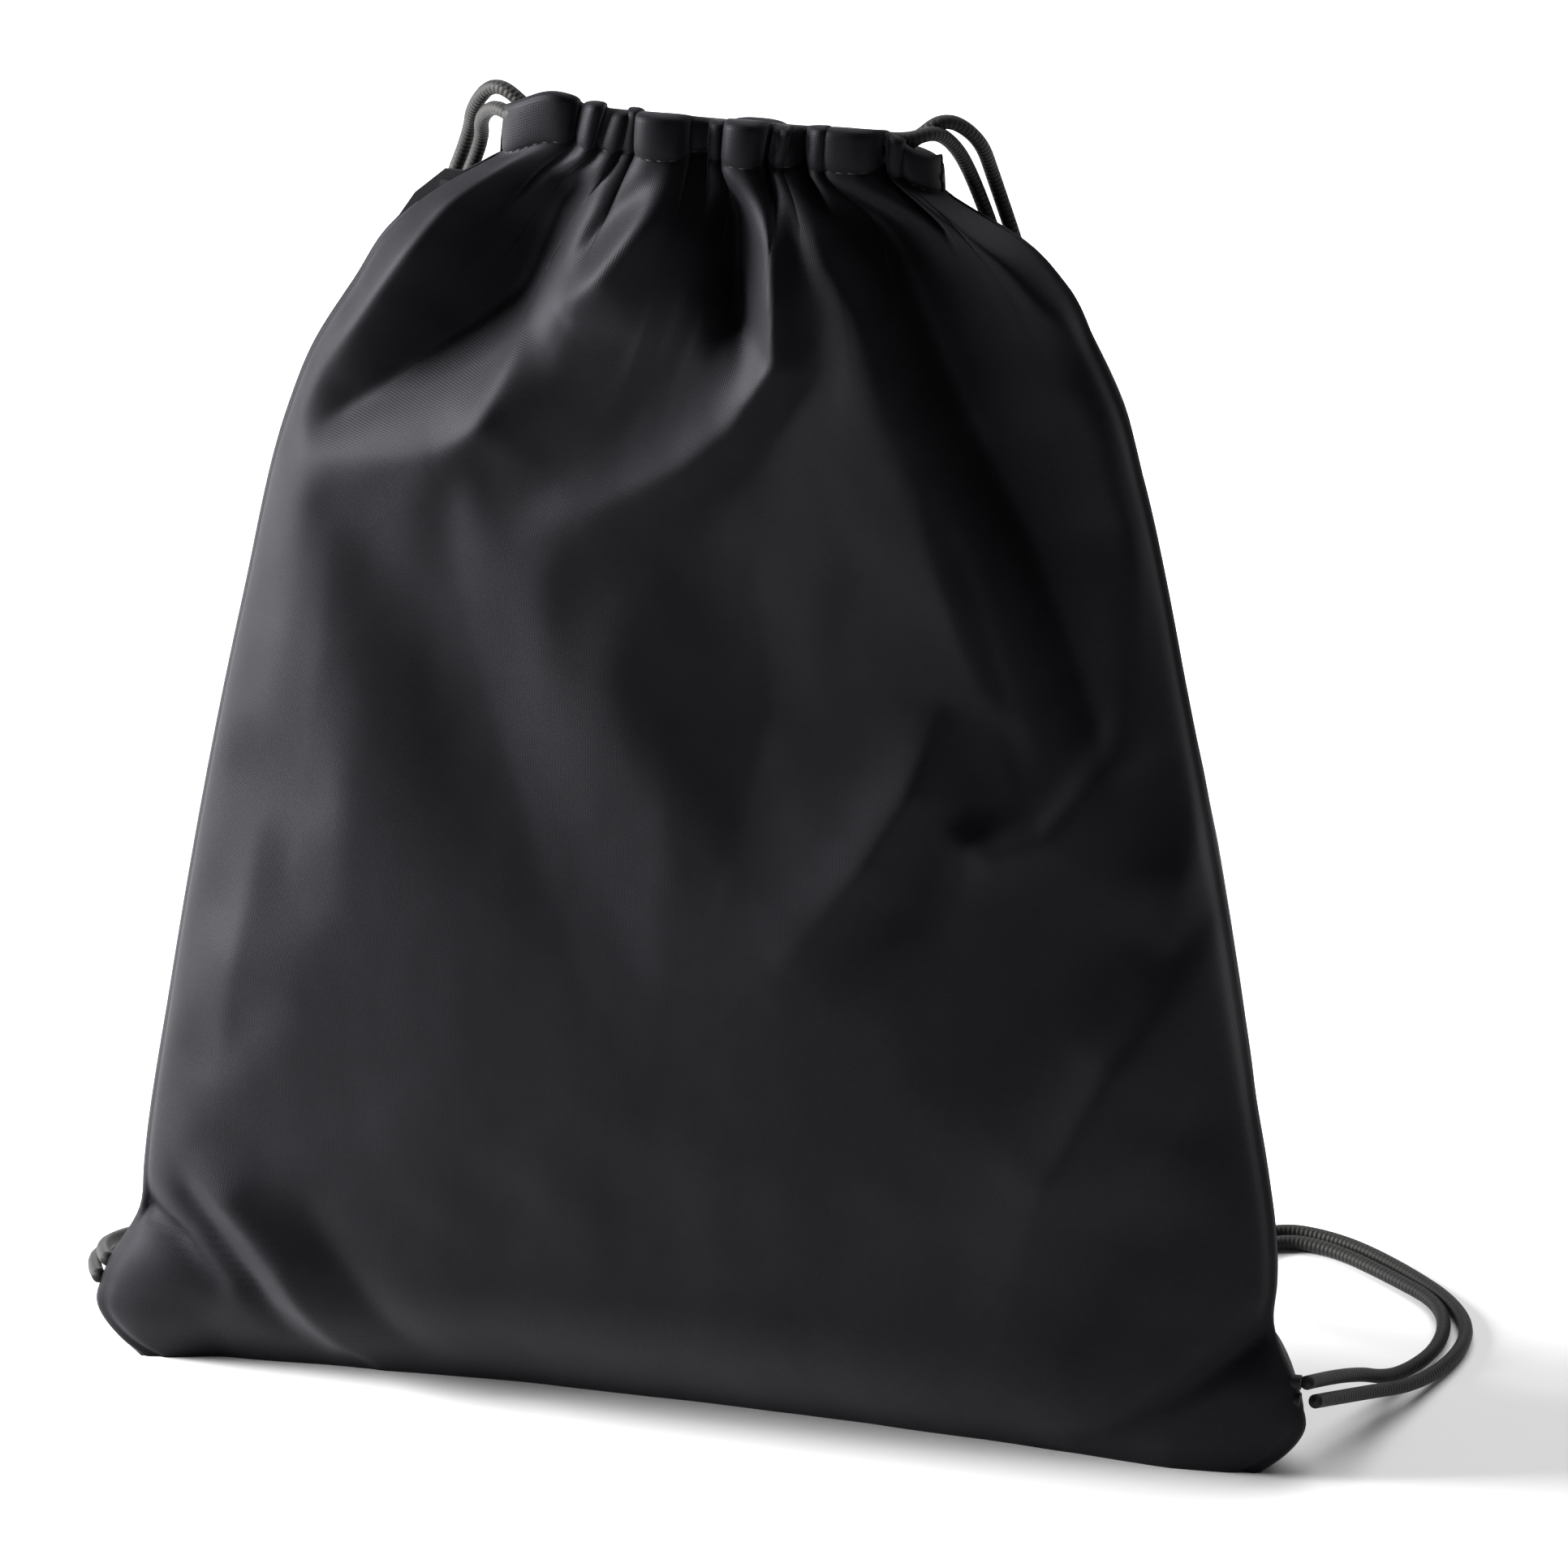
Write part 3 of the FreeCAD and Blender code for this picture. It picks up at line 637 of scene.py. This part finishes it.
def panel_heights():
    """Heights of the panel's rows, closest at the bottom seam."""
    low = np.linspace(0, 1, 16) ** 1.3 * 20
    body = np.arange(22.5, NECK_FROM, 2.5)
    neck = np.arange(NECK_FROM + 1, PANEL_TOP, 2.0)
    return np.concatenate([low, body, neck])


GATHER_FROM = 285          # from here up the cloth crowds into the pleats
MOUTH_SHIFT = {-1: 2.5, 1: -10.0}    # the front edge stands up, the back edge hangs down
MOUTH_END = 0.68           # the mouth's ends start this far across
END_DROOP = 7.0            # and hang below its middle
PLEAT_SET = 7.0            # the gathers' valleys lie this far inside the plain section
FADE_POWER = 1.4
BASE_SETBACK = 13.0        # the bottom seam bows back behind the filled front
SETBACK_MIDDLE = -35.0
SETBACK_HALF = 175
SETBACK_TOP = 48
SEAM_RIDGE = 1.3           # the side seams stand out a little, with a groove beside them
SEAM_RIDGE_WIDTH = 1.8
SEAM_GROOVE = 0.9
SEAM_GROOVE_AT = 4.2


def mouth_shift(side, lobe, z):
    """How far the cloth stands above or hangs below its plain height."""
    rising = smooth_step((z - NECK_FROM) / (PANEL_TOP - NECK_FROM)) ** FADE_POWER
    toward_end = smooth_step((np.abs(lobe) - MOUTH_END) / 0.32)
    return rising * (MOUTH_SHIFT[side] * (1 - 0.5 * toward_end) - END_DROOP * toward_end)


def set_back(x, z):
    """How far the front's bottom edge bows back."""
    low = 1 - smooth_step(z / SETBACK_TOP)
    bow = np.clip(1 - ((x - SETBACK_MIDDLE) / SETBACK_HALF) ** 2, 0, 1)
    return BASE_SETBACK * low * bow * smooth_step((170 - np.abs(x)) / 30)


def panel_rows(side, gather, folds, s):
    """Rows of the panel, from the bottom seam to the casing's lower edge."""
    rows = []
    lobe, depth, _, reach, _ = gather.at(s)
    for z in panel_heights():
        gathered = smooth_step((z - GATHER_FROM) / (PANEL_TOP - GATHER_FROM)) ** 1.5
        across = gathered * lobe + (1 - gathered) * s
        x, y = oval_row(z, side, np.clip(across, -1, 1))
        fade = smooth_step(1 - (PANEL_TOP - z) / reach) ** FADE_POWER
        edge = smooth_step((1 - np.abs(s)) / 0.05)
        y = y + side * (depth - PLEAT_SET) * fade * edge
        y = y + side * folds.at(x, z) * edge * smooth_step((PANEL_TOP + 2 - z) / 18)
        if side < 0:
            y = y + set_back(x, z)
        from_seam = (1 - np.abs(s)) * FLAT_WIDTH / 2
        x = x + np.sign(s) * SEAM_RIDGE * np.exp(-(from_seam / SEAM_RIDGE_WIDTH) ** 2)
        y = y - side * SEAM_GROOVE * np.exp(-((from_seam - SEAM_GROOVE_AT) / SEAM_RIDGE_WIDTH) ** 2)
        x = x + profile(LEAN, z)
        rows.append(np.stack([x, y, z + mouth_shift(side, lobe, z)], axis=1))
    return rows


# Rows of the casing: height above its lower edge, how far outside the panel's line, how far it has
# turned from its outer layer (0) to its inner layer (1), and how much of the pleat's lift it takes.
CASING_PROFILE = [
    (0.4, -0.8, 0, 0), (1.0, -1.0, 0, 0), (1.7, -0.4, 0, 0), (2.7, 0.1, 0, 0.1), (4.2, 0.4, 0, 0.2),
    (6, 0.5, 0, 0.4), (8, 0.4, 0, 0.6), (10, 0.2, 0, 0.8), (11.6, 0.0, 0, 0.9), (12.7, -0.4, 0, 1),
    (13.2, -1.0, 0.05, 1), (13.1, -1.7, 0.15, 1), (12.4, -2.4, 0.3, 1), (11, -3.2, 0.55, 0.8),
    (8.5, -3.8, 0.85, 0.5), (5, -4.2, 1, 0.2), (1, -4.2, 1, 0),
]
INNER_Y = 1.6              # the casing's inner layer, off the middle plane
INNER_WAVE = 0.15          # share of the pleats' depth that the inner layer follows
CASING_SLANT = 0.9


def casing_rows(side, gather, s):
    """Rows up the casing's face, over its top fold and down its inner layer."""
    rows = []
    lobe, depth, rise, _, tilt = gather.at(s)
    edge = smooth_step((1 - np.abs(s)) / 0.03)
    x, plain = oval_row(PANEL_TOP, side, np.clip(lobe, -1, 1))
    outer = side * plain + (depth - PLEAT_SET) * edge
    lift = mouth_shift(side, lobe, PANEL_TOP)
    for up, swell, turned, lifted in CASING_PROFILE:
        inner = INNER_Y + INNER_WAVE * (depth - PLEAT_SET) * edge
        y = (1 - turned) * (outer + swell) + turned * inner
        slanted = x + profile(LEAN, PANEL_TOP) + tilt * up * CASING_SLANT
        rows.append(np.stack([slanted, side * y, PANEL_TOP + up + rise * lifted + lift], axis=1))
    return rows


def grid_faces(count, width):
    """Quads of a grid with count rows of width points."""
    return [(r * width + c, r * width + c + 1, (r + 1) * width + c + 1, (r + 1) * width + c)
            for r in range(count - 1) for c in range(width - 1)]


UV_UNIT = 100              # one unit of the cloth's UV map in millimetres


def sheet_object(name, rows, s, material):
    """Grid mesh from rows of points, with the flat cloth as its UV map."""
    grid = np.array(rows)
    count, width = grid.shape[:2]
    steps = np.linalg.norm(np.diff(grid, axis=0), axis=2).mean(axis=1)
    up = np.concatenate([[0], np.cumsum(steps)])
    mesh = bpy.data.meshes.new(name)
    mesh.from_pydata((grid.reshape(-1, 3) * MM).tolist(), [], grid_faces(count, width))
    layer = mesh.uv_layers.new(name="cloth")
    index = np.zeros(len(mesh.loops), dtype=np.int32)
    mesh.loops.foreach_get("vertex_index", index)
    u = (s[index % width] + 1) / 2 * FLAT_WIDTH / UV_UNIT
    v = up[index // width] / UV_UNIT
    layer.data.foreach_set("uv", np.stack([u, v], axis=1).ravel())
    mesh.shade_smooth()
    return link(name, mesh, material)


def add_thickness(piece, thickness):
    """Gives the cloth its thickness, half to each side."""
    solid = piece.modifiers.new("thickness", "SOLIDIFY")
    solid.thickness = thickness * MM
    solid.offset = 0.0


SIM_FRAMES = 16
SIM_SKIP = 2               # the simulated grid has every second row and column
SIM_MOVE_LIMIT = 3.5
SIM_SMOOTHING = 3          # passes that even out creases narrower than the cloth could make
SPARE_CLOTH = 0.006        # how much longer than the drawn shape the cloth is
CLOTH_SETTINGS = {
    "quality": 5, "mass": 0.3, "tension_stiffness": 15, "compression_stiffness": 15,
    "shear_stiffness": 5, "bending_stiffness": 8, "tension_damping": 5, "compression_damping": 5,
    "shear_damping": 5, "bending_damping": 0.5, "air_damping": 1, "pin_stiffness": 4,
}


def freedom(grid, low_rows):
    """Loose in the middle of the panel, held at its seams, its lowest rows and its gathers."""
    heights = grid[:, :, 2].mean(axis=1)
    s = np.linspace(-1, 1, grid.shape[1])
    sides = smooth_step((1 - np.abs(s)) / 0.10)
    along = smooth_step((PANEL_TOP - 4 - heights) / 70.0)
    along *= smooth_step((np.arange(len(grid)) - low_rows) / 20.0)
    return along[:, None] * sides[None, :]


def simulate(name, grid, loose):
    """Runs a short cloth simulation of the grid and returns how far each point moved."""
    count, width = grid.shape[:2]
    mesh = bpy.data.meshes.new(name)
    mesh.from_pydata((grid.reshape(-1, 3) * MM).tolist(), [], grid_faces(count, width))
    piece = bpy.data.objects.new(name, mesh)
    bpy.context.scene.collection.objects.link(piece)
    held = piece.vertex_groups.new(name="held")
    for index, free in enumerate(loose.ravel()):
        held.add([index], float(1 - free), "REPLACE")
    cloth = piece.modifiers.new("cloth", "CLOTH")
    for setting, value in CLOTH_SETTINGS.items():
        setattr(cloth.settings, setting, value)
    cloth.settings.vertex_group_mass = "held"
    cloth.settings.shrink_min = -SPARE_CLOTH
    cloth.collision_settings.use_collision = False
    cloth.point_cache.frame_start = 1
    cloth.point_cache.frame_end = SIM_FRAMES
    scene = bpy.context.scene
    scene.use_gravity = False
    for number in range(1, SIM_FRAMES + 1):
        scene.frame_set(number)
    settled = piece.evaluated_get(bpy.context.evaluated_depsgraph_get()).to_mesh()
    after = np.zeros(count * width * 3)
    settled.vertices.foreach_get("co", after)
    piece.evaluated_get(bpy.context.evaluated_depsgraph_get()).to_mesh_clear()
    piece.modifiers.remove(cloth)
    bpy.data.objects.remove(piece)
    bpy.data.meshes.remove(mesh)
    scene.frame_set(1)
    return after.reshape(grid.shape) - grid * MM


def even_out(move):
    """Each point's move averaged with its four neighbours' moves."""
    wider = np.pad(move, ((1, 1), (1, 1), (0, 0)), mode="edge")
    neighbours = wider[:-2, 1:-1] + wider[2:, 1:-1] + wider[1:-1, :-2] + wider[1:-1, 2:]
    return (neighbours + 2 * wider[1:-1, 1:-1]) / 6


def spread(move, picked_rows, picked, rows, columns):
    """The coarse grid's moves carried over to the full grid."""
    wide = np.empty((len(picked_rows), columns, 3))
    full = np.empty((rows, columns, 3))
    for k in range(3):
        for r in range(len(picked_rows)):
            wide[r, :, k] = np.interp(np.arange(columns), picked, move[r, :, k])
        for c in range(columns):
            full[:, c, k] = np.interp(np.arange(rows), picked_rows, wide[:, c, k])
    return full


def relax_cloth(name, rows, low_rows):
    """Lets the gathered cloth find its own small wrinkles between the seams."""
    grid = np.array(rows)
    picked_rows = np.unique(np.append(np.arange(0, len(grid), SIM_SKIP), len(grid) - 1))
    picked = np.arange(0, grid.shape[1], SIM_SKIP)
    coarse = grid[picked_rows][:, picked]
    move = simulate(name + "_simulation", coarse, freedom(coarse, low_rows / SIM_SKIP)) / MM
    size = np.linalg.norm(move, axis=2)
    move *= np.minimum(1.0, SIM_MOVE_LIMIT / np.maximum(size, 1e-6))[:, :, None]
    for _ in range(SIM_SMOOTHING):
        move = even_out(move)
    across = np.abs(np.linspace(-1, 1, coarse.shape[1]))
    move *= smooth_step((coarse[:, :, 2] - 30) / 90)[:, :, None]
    move *= smooth_step((PANEL_TOP - coarse[:, :, 2]) / 12)[:, :, None]
    move *= smooth_step((1 - across) / 0.04)[None, :, None]
    return list(grid + spread(move, picked_rows, picked, *grid.shape[:2]))


CRUMPLE_BROAD = 0.9
CRUMPLE_FINE = 0.12
CRUMPLE_FINE_MOUTH = 0.45   # added in the gathers


def crumple(rows, side):
    """Slight unevenness of the cloth, stronger in the gathers."""
    uneven = []
    for row in rows:
        waves = np.zeros(len(row))
        for i, (x, _, z) in enumerate(row):
            near_mouth = max(0.0, min(1.0, (z - NECK_FROM) / 70))
            broad = noise.noise(Vector((x / 38, side * 3.0, z / 55)))
            fine = noise.noise(Vector((x / 11, side * 7.0, z / 19)))
            waves[i] = broad * CRUMPLE_BROAD + fine * (CRUMPLE_FINE + CRUMPLE_FINE_MOUTH * near_mouth)
        held = smooth_step((1 - np.abs(np.linspace(-1, 1, len(row)))) / 0.04)
        row = row.copy()
        row[:, 1] += side * waves * held
        uneven.append(row)
    return uneven


STITCH_LENGTH = 2.3
STITCH_PITCH = 3.3
STITCH_WIDE = 0.5
STITCH_PROUD = 0.42        # how far a stitch's middle stands off the cloth


def stitch_row(name, path, side):
    """Short threads lying along a row of points, standing just off the cloth."""
    steps = np.linalg.norm(np.diff(path, axis=0), axis=1)
    along = np.concatenate([[0], np.cumsum(steps)])
    vertices, faces = [], []
    for start in np.arange(2.0, along[-1] - 3, STITCH_PITCH):
        ends = [np.array([np.interp(start + t, along, path[:, k]) for k in range(3)])
                for t in (0, STITCH_LENGTH)]
        first = len(vertices)
        middle = (ends[0] + ends[1]) / 2
        out = np.array([0, side * STITCH_PROUD, 0])
        tall = np.array([0, 0, STITCH_WIDE / 2])
        for point, reach in ((ends[0], 0.3), (middle, 1.0), (ends[1], 0.3)):
            vertices += [point + out * reach + tall, point + out * (reach + 0.6),
                         point + out * reach - tall, point - out * 0.5]
        for ring in (0, 4):
            for k in range(4):
                a, b = first + ring + k, first + ring + (k + 1) % 4
                faces.append((a, b, b + 4, a + 4))
        faces.append((first + 3, first + 2, first + 1, first))
        faces.append((first + 8, first + 9, first + 10, first + 11))
    mesh = bpy.data.meshes.new(name)
    mesh.from_pydata([tuple(v * MM) for v in vertices], [], faces)
    mesh.shade_smooth()
    piece = link(name, mesh, THREAD)
    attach(piece, "bag")
    return piece


STITCH_ROW = 1             # which row of the casing carries its stitches
BASE_ROWS = 14             # rows of the bottom, from the front seam to the back panel


def front_cloth():
    """The front panel, its casing and its stitches."""
    s = np.linspace(-1, 1, COLUMNS + 1)
    gather = Gather(FRONT_PLEATS)
    panel = relax_cloth("front", panel_rows(-1, gather, FoldField(FRONT_FOLDS), s), 1)
    rows = crumple(panel + casing_rows(-1, gather, s), -1)
    stitches = stitch_row("front_casing_stitches", rows[len(panel) + STITCH_ROW][4:-4], -1)
    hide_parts("front_casing_stitching")
    piece = sheet_object("front_cloth", rows, s, CLOTH)
    add_thickness(piece, CLOTH_THICK)
    return piece


def back_cloth():
    """The back panel with the bottom of the bag, its casing and its stitches."""
    s = np.linspace(-1, 1, COLUMNS + 1)
    gather = Gather(BACK_PLEATS)
    upright = panel_rows(1, gather, FoldField(BACK_FOLDS), s)
    fore = panel_rows(-1, gather, FoldField(FRONT_FOLDS), s)[0]
    base = [fore + (upright[0] - fore) * k / BASE_ROWS for k in range(BASE_ROWS)]
    panel = relax_cloth("back", base + upright, BASE_ROWS + 3)
    rows = crumple(panel + casing_rows(1, gather, s), 1)
    stitches = stitch_row("back_casing_stitches", rows[len(panel) + STITCH_ROW][4:-4], 1)
    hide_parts("back_casing_stitching")
    piece = sheet_object("back_cloth", rows, s, CLOTH)
    piece.data.flip_normals()
    add_thickness(piece, CLOTH_THICK)
    return piece


FRONT = front_cloth()
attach(FRONT, "bag")
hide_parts("front_panel", "front_casing", "bottom_seam_allowance", "bottom_seam_stitching")

BACK = back_cloth()
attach(BACK, "bag")
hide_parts("back_panel", "back_casing")


# ---- carried-over pieces ---------------------------------------------------------------------
CARRIED_LOOKS = {"allowance": TAPE, "cord_ends": CORD, "bartack": THREAD, "stitching": THREAD}
for piece in bpy.data.objects:
    for word, look in CARRIED_LOOKS.items():
        if piece.type == "MESH" and word in piece.name:
            for slot in piece.material_slots:
                slot.material = look


# ---- studio ----------------------------------------------------------------------------------
FLOOR_HALF = 6.0
WORLD_STRENGTH = 0.12


def add_floor():
    corners = [(x * FLOOR_HALF, y * FLOOR_HALF, 0) for x, y in ((-1, -1), (1, -1), (1, 1), (-1, 1))]
    mesh = bpy.data.meshes.new("floor")
    mesh.from_pydata(corners, [], [(0, 1, 2, 3)])
    material, _, _, shader = new_material("floor_paper")
    shader.inputs["Base Color"].default_value = (0.8, 0.8, 0.8, 1)
    shader.inputs["Roughness"].default_value = 0.9
    floor = link("floor", mesh, material)


def add_area(name, location, aim, size, power):
    """Rectangular light at a place in metres, facing its aim."""
    data = bpy.data.lights.new(name, "AREA")
    data.shape = "RECTANGLE"
    data.size, data.size_y = size
    data.energy = power
    light = bpy.data.objects.new(name, data)
    light.location = location
    direction = Vector(aim) - Vector(location)
    light.rotation_mode = "QUATERNION"
    light.rotation_quaternion = direction.to_track_quat("-Z", "Y")
    bpy.context.scene.collection.objects.link(light)


def add_studio():
    add_floor()
    world = bpy.data.worlds.new("studio")
    bpy.context.scene.world = world
    world.use_nodes = True
    background = world.node_tree.nodes["Background"]
    background.inputs["Color"].default_value = (1, 1, 1, 1)
    background.inputs["Strength"].default_value = WORLD_STRENGTH
    add_area("key", (-1.95, -0.3, 0.8), (0, 0, 0.25), (0.8, 1.2), 250)
    add_area("top", (0.3, 1.4, 2.2), (0.3, 0.6, 0), (2.4, 2.4), 72)
    bpy.context.scene.view_settings.view_transform = "Standard"


add_studio()
